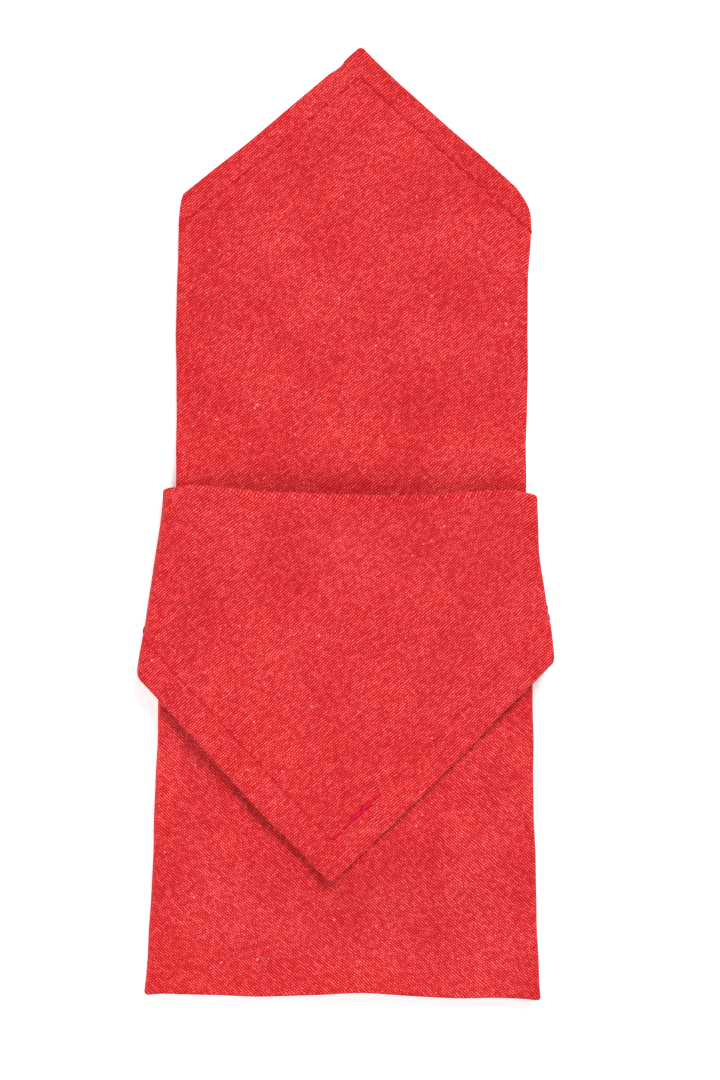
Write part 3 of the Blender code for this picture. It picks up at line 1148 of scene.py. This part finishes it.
@dataclass(frozen=True)
class RedCloth:
    """Plain-woven red cloth: ridged yarns one way, finer yarns the other, dyed a little unevenly, with painted
    shade in the weave's grooves and a painted highlight on its crests.
    """

    ridge_pitch: float = 0.000644
    cross_pitch: float = 0.000415
    wander_rate: float = 380.0
    wander: float = 1.2
    ridge_power: float = 1.4
    ridge_dip: float = 0.37
    cross_height: float = 0.45
    yarn_apart: float = 7.31
    slub_rate: float = 200.0
    yarn_tone: float = 0.22
    knot_tone: float = 0.28
    # how much the yarns' height darkens the grooves and lightens the crests, as painted shade and painted
    # highlight
    weave_painted_shading: float = 0.92
    tone_shift: float = 0.04
    mottle_tone: float = 0.30
    groove_range: tuple = (0.08, 0.58)
    crest_range: tuple = (0.60, 1.12)
    # dark end: painted shade in the weave's grooves together with the darkest uneven dye; pale end: painted
    # highlight on the crests together with the palest dye
    dark_dye_and_groove_shade: tuple = (0.34, 0.002, 0.006, 1.0)
    body: tuple = (0.72, 0.018, 0.024, 1.0)
    pale_dye_and_crest_highlight: tuple = (1.0, 0.190, 0.190, 1.0)
    fleck: tuple = (1.0, 0.36, 0.34, 1.0)
    fleck_share: float = 0.5
    # painted shade in the needle holes: their dark colour and how strongly it is mixed in
    hole_painted_shade: tuple = (0.22, 0.001, 0.004, 1.0)
    hole_shade_share: float = 0.50
    hole_depth: float = 0.9
    hole_core: float = 0.000165
    hole_reach: float = 0.00055
    hole_rate: float = 140.0
    hole_range: tuple = (0.35, 0.6)
    faintest_hole: float = 0.2
    stitch_pitch: float = 0.0039
    stitch_length: float = 0.0027
    groove_roughness: float = 0.95
    crest_roughness: float = 0.84
    shine: float = 0.2
    sheen: float = 0.15
    sheen_roughness: float = 0.45
    sheen_tint: tuple = (1.0, 0.45, 0.42, 1.0)
    bump_strength: float = 0.8
    bump_height: float = 0.00016

    def weave_height(self, sketch: NodeSketch, x: object, y: object) -> tuple:
        """Work out the height of the yarns and the number of the yarn at each place.

        Args:
            sketch: the material's nodes.
            x: place across the ridged yarns.
            y: place along them.

        Returns:
            The height from 0 to 1, the ridged yarn's number and the cross yarn's number.
        """
        noise_value = sketch.grain(sketch.vector(x, y, 0.0), self.wander_rate, 2.0)
        bend = sketch.times(sketch.less(noise_value, 0.5), self.wander)
        across = sketch.plus(sketch.math("DIVIDE", x, self.ridge_pitch), bend)
        along = sketch.plus(sketch.math("DIVIDE", y, self.cross_pitch), bend)
        ridge_number = sketch.math("FLOOR", across)
        cross_number = sketch.math("FLOOR", along)
        crown = sketch.math("SINE", sketch.times(sketch.math("FRACT", across), math.pi))
        ridge = sketch.math("POWER", crown, self.ridge_power)
        cross = sketch.math("SINE", sketch.times(sketch.math("FRACT", along), math.pi))
        phase = sketch.times(sketch.plus(along, ridge_number), math.pi)
        over = sketch.plus(sketch.times(sketch.math("COSINE", phase), 0.5), 0.5)
        under = sketch.less(1.0, over)
        ridge_top = sketch.times(ridge, sketch.plus(sketch.times(over, self.ridge_dip), 1.0 - self.ridge_dip))
        cross_top = sketch.times(sketch.times(cross, under), self.cross_height)
        return sketch.math("MAXIMUM", ridge_top, cross_top), ridge_number, cross_number

    def dye_tone(self, sketch: NodeSketch, x: object, y: object, ridge_number: object,
                 cross_number: object) -> object:
        """Uneven dye, a little different on each yarn, along each yarn and on each crossing.

        Args:
            sketch: the material's nodes.
            x: place across the ridged yarns.
            y: place along them.
            ridge_number: number of the ridged yarn.
            cross_number: number of the cross yarn.

        Returns:
            A tone about 0.
        """
        ridge_row = sketch.times(ridge_number, self.yarn_apart)
        cross_row = sketch.times(cross_number, self.yarn_apart)
        ridge_place = sketch.vector(ridge_row, sketch.times(y, self.slub_rate), 0.0)
        cross_place = sketch.vector(sketch.times(x, self.slub_rate), cross_row, 5.0)
        yarns = sketch.plus(sketch.grain(ridge_place, 1.0, 1.0), sketch.grain(cross_place, 1.0, 1.0))
        knots = sketch.add("ShaderNodeTexWhiteNoise", noise_dimensions="3D")
        pair = sketch.math("FLOOR", sketch.times(cross_number, 0.5))
        sketch.feed(knots.inputs["Vector"], sketch.vector(ridge_number, pair, 0.0))
        knot_tone = sketch.times(sketch.less(knots.outputs["Value"], 0.5), self.knot_tone)
        return sketch.plus(sketch.times(sketch.less(yarns, 1.0), self.yarn_tone), knot_tone)

    def needle_holes(self, sketch: NodeSketch) -> object:
        """Mask of the small holes at the ends of each hem stitch, used for their dent and for the painted
        shade in them.

        Args:
            sketch: the material's nodes.

        Returns:
            1 in a hole and 0 outside.
        """
        along, inward = sketch.split(sketch.add("ShaderNodeUVMap", uv_map="hem").outputs["UV"])
        steps = sketch.math("DIVIDE", along, self.stitch_pitch)
        middle = sketch.math("ABSOLUTE", sketch.less(sketch.math("FRACT", steps), 0.5))
        half_stitch = self.stitch_length / self.stitch_pitch / 2
        from_end = sketch.times(sketch.less(middle, half_stitch), self.stitch_pitch)
        square = sketch.plus(sketch.math("POWER", from_end, 2.0), sketch.math("POWER", inward, 2.0))
        holes = sketch.ramp(sketch.math("SQRT", square), self.hole_core, self.hole_reach, 1.0, 0.0)
        in_line = sketch.ramp(along, -self.stitch_pitch / 2, 0.0)
        uneven = sketch.grain(sketch.vector(along, 0.0, 0.0), self.hole_rate, 1.0)
        uneven = sketch.ramp(uneven, *self.hole_range, to_low=self.faintest_hole)
        return sketch.times(sketch.times(holes, in_line), uneven)

    def build(self, yarn: bpy.types.NodeTree) -> bpy.types.Material:
        """Make the material.

        Args:
            yarn: the yarn mottle group.

        Returns:
            The cloth's material.
        """
        material, sketch, shader = start_material("red_cloth_weave", {
            "Specular IOR Level": self.shine,
            "Sheen Weight": self.sheen,
            "Sheen Roughness": self.sheen_roughness,
            "Sheen Tint": self.sheen_tint,
        })
        threads = sketch.add("ShaderNodeUVMap", uv_map="threads").outputs["UV"]
        x, y = sketch.split(threads)
        height, ridge_number, cross_number = self.weave_height(sketch, x, y)
        mottle = sketch.add("ShaderNodeGroup", node_tree=yarn)
        sketch.feed(mottle.inputs["Vector"], threads)
        # painted light: the yarns' height is added to the tone, so grooves get painted shade and crests a
        # painted highlight; the dye tone and mottle added next are the cloth's own uneven dye
        tone = sketch.plus(sketch.times(height, self.weave_painted_shading), self.tone_shift)
        tone = sketch.plus(tone, self.dye_tone(sketch, x, y, ridge_number, cross_number))
        tone = sketch.plus(tone, sketch.times(sketch.less(mottle.outputs["Mottle"], 0.5), self.mottle_tone))
        holes = self.needle_holes(sketch)
        # mix in the painted groove shade and the painted crest highlight, which also carry the dark and pale
        # ends of the uneven dye
        colour = sketch.mix(sketch.ramp(tone, *self.groove_range), self.dark_dye_and_groove_shade, self.body)
        colour = sketch.mix(sketch.ramp(tone, *self.crest_range), colour, self.pale_dye_and_crest_highlight)
        colour = sketch.mix(sketch.times(mottle.outputs["Flecks"], self.fleck_share), colour, self.fleck)
        # painted shade: the needle holes are darkened in colour as well as sunk by the bump
        colour = sketch.mix(sketch.times(holes, self.hole_shade_share), colour, self.hole_painted_shade)
        roughness = sketch.ramp(height, 0.0, 1.0, self.groove_roughness, self.crest_roughness)
        surface = sketch.less(height, sketch.times(holes, self.hole_depth))
        sketch.feed(shader.inputs["Base Color"], colour)
        sketch.feed(shader.inputs["Roughness"], roughness)
        sketch.feed(shader.inputs["Normal"], sketch.bump(surface, self.bump_strength, self.bump_height))
        return material


@dataclass(frozen=True)
class SewingThread:
    """Slightly shiny sewing thread with a fine twist, darker in the twist's grooves as painted shade and
    mottled by uneven dye.
    """

    name: str = "red_sewing_thread"
    # the dark colour is painted shade in the twist's grooves; the mix between both also follows the yarn's
    # uneven dye
    dark: tuple = (0.56, 0.007, 0.013, 1.0)
    light: tuple = (0.86, 0.026, 0.034, 1.0)
    groove_roughness: float = 0.75
    crest_roughness: float = 0.60
    shine: float = 0.15
    twist_scale: float = 1500.0
    bump_strength: float = 0.5
    bump_height: float = 0.00005

    def build(self, yarn: bpy.types.NodeTree) -> bpy.types.Material:
        """Make the material.

        Args:
            yarn: the yarn mottle group.

        Returns:
            The thread's material.
        """
        material, sketch, shader = start_material(self.name, {"Specular IOR Level": self.shine})
        place = sketch.add("ShaderNodeTexCoord").outputs["Object"]
        mottle = sketch.add("ShaderNodeGroup", node_tree=yarn)
        sketch.feed(mottle.inputs["Vector"], place)
        wave = sketch.add("ShaderNodeTexWave", wave_type="BANDS", bands_direction="DIAGONAL")
        sketch.feed(wave.inputs["Vector"], place)
        wave.inputs["Scale"].default_value = self.twist_scale
        twist = wave.outputs["Fac"]
        # painted shade: the colour follows the twist's bands, darker in its grooves, times the yarn's uneven
        # dye
        share = sketch.ramp(sketch.times(twist, mottle.outputs["Mottle"]), 0.1, 0.6)
        roughness = sketch.ramp(twist, 0.0, 1.0, self.groove_roughness, self.crest_roughness)
        sketch.feed(shader.inputs["Base Color"], sketch.mix(share, self.dark, self.light))
        sketch.feed(shader.inputs["Roughness"], roughness)
        sketch.feed(shader.inputs["Normal"], sketch.bump(twist, self.bump_strength, self.bump_height))
        return material


CRIMSON_THREAD = SewingThread(
    "crimson_sewing_thread", dark=(0.52, 0.002, 0.024, 1.0), light=(0.76, 0.005, 0.042, 1.0)
)
PALE_FIBRE = SewingThread("pale_red_fibre", dark=(0.70, 0.060, 0.060, 1.0), light=(0.95, 0.200, 0.190, 1.0))


class Softbox(NamedTuple):
    """A square soft light that faces the napkin: its name, place, size and power in watts."""

    name: str
    place: tuple
    size: float
    power: float


@dataclass
class Studio:
    """Plain pale floor, soft overhead light and a camera straight above."""

    metres_per_pixel: float = 0.00028
    image_middle: tuple = (0.00395, -0.00472)
    image_pixels: tuple = (720, 1080)
    camera_height: float = 1.25
    sensor_width: float = 36.0
    floor_size: float = 4.0
    floor_colour: tuple = (0.97, 0.97, 0.97, 1.0)
    floor_glow: float = 0.35
    floor_roughness: float = 0.8
    floor_shine: float = 0.1
    surround_colour: tuple = (1.0, 1.0, 1.0, 1.0)
    surround_strength: float = 0.25
    softboxes: tuple = (
        Softbox("key_softbox", (0.70, 1.35, 1.70), 1.00, 51.0),
        Softbox("fill_softbox", (-0.40, -0.55, 0.60), 0.70, 5.3),
    )

    def build_floor(self) -> None:
        """Lay the pale floor that the napkin lies on."""
        deselect_all()
        bpy.ops.mesh.primitive_plane_add(size=self.floor_size, location=(0.0, 0.0, 0.0))
        floor = bpy.context.object
        floor.name = "studio_floor"
        material, _, _ = start_material("pale_floor", {
            "Base Color": self.floor_colour,
            "Roughness": self.floor_roughness,
            "Specular IOR Level": self.floor_shine,
            "Emission Color": self.floor_colour,
            "Emission Strength": self.floor_glow,
        })
        floor.data.materials.append(material)

    def build_lights(self) -> None:
        """Light the napkin softly, from the upper right and less from the lower left, in a white surround."""
        for box in self.softboxes:
            data = bpy.data.lights.new(box.name, "AREA")
            data.shape = "SQUARE"
            data.size = box.size
            data.energy = box.power
            lamp = bpy.data.objects.new(box.name, data)
            lamp.location = box.place
            lamp.rotation_euler = (-Vector(box.place)).to_track_quat("-Z", "Y").to_euler()
            bpy.context.scene.collection.objects.link(lamp)
        world = bpy.data.worlds.new("white_surround")
        world.use_nodes = True
        background = world.node_tree.nodes["Background"]
        background.inputs["Color"].default_value = self.surround_colour
        background.inputs["Strength"].default_value = self.surround_strength
        bpy.context.scene.world = world

    def build_camera(self) -> None:
        """Look straight down, with the photograph's framing and top edge."""
        data = bpy.data.cameras.new("overhead_camera")
        data.sensor_width = self.sensor_width
        data.sensor_fit = "AUTO"
        picture_height = self.metres_per_pixel * self.image_pixels[1]
        data.lens = data.sensor_width * self.camera_height / picture_height
        camera = bpy.data.objects.new("overhead_camera", data)
        camera.location = (self.image_middle[0], self.image_middle[1], self.camera_height)
        bpy.context.scene.collection.objects.link(camera)
        bpy.context.scene.camera = camera

    def build(self) -> None:
        """Set up floor, lights and camera."""
        self.build_floor()
        self.build_lights()
        self.build_camera()
        bpy.context.scene.view_settings.view_transform = "Standard"


def settle_on_solid(pieces: Sequence[Object]) -> None:
    """Slide all pieces until the cloth is over the solid's middle and the lowest point is on the floor."""
    cloth = pieces[0].data.vertices
    middle = Vector((0.0, 0.0, 0.0))
    for axis in (0, 1):
        low = min(vert.co[axis] for vert in cloth)
        high = max(vert.co[axis] for vert in cloth)
        middle[axis] = (low + high - CAD_BOUNDS[0][axis] - CAD_BOUNDS[1][axis]) / 2
    middle.z = min(vert.co.z for piece in pieces for vert in piece.data.vertices)
    for piece in pieces:
        for vert in piece.data.vertices:
            vert.co -= middle


def main() -> None:
    """Build the cloth, its stitching and the studio, and report each piece."""
    logging.basicConfig(level=logging.INFO, format="%(name)s: %(message)s")
    fold = StripFold()
    yarn = make_yarn_group()
    napkin = NapkinCloth(fold, make_hems(fold))
    cloth = napkin.build()
    stitching = HemStitching(fold, napkin).build()
    fibres = LooseFibres(fold, napkin).build()
    settle_on_solid([cloth, stitching, fibres])
    cloth.data.materials.append(RedCloth().build(yarn))
    stitching.data.materials.append(SewingThread().build(yarn))
    stitching.data.materials.append(CRIMSON_THREAD.build(yarn))
    fibres.data.materials.append(PALE_FIBRE.build(yarn))
    for piece in (cloth, stitching, fibres):
        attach(piece, "root")
        LOG.info("%s: %d vertices, %d faces", piece.name, len(piece.data.vertices), len(piece.data.polygons))
    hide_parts(NODE)
    Studio().build()


if __name__ == "__main__":
    main()
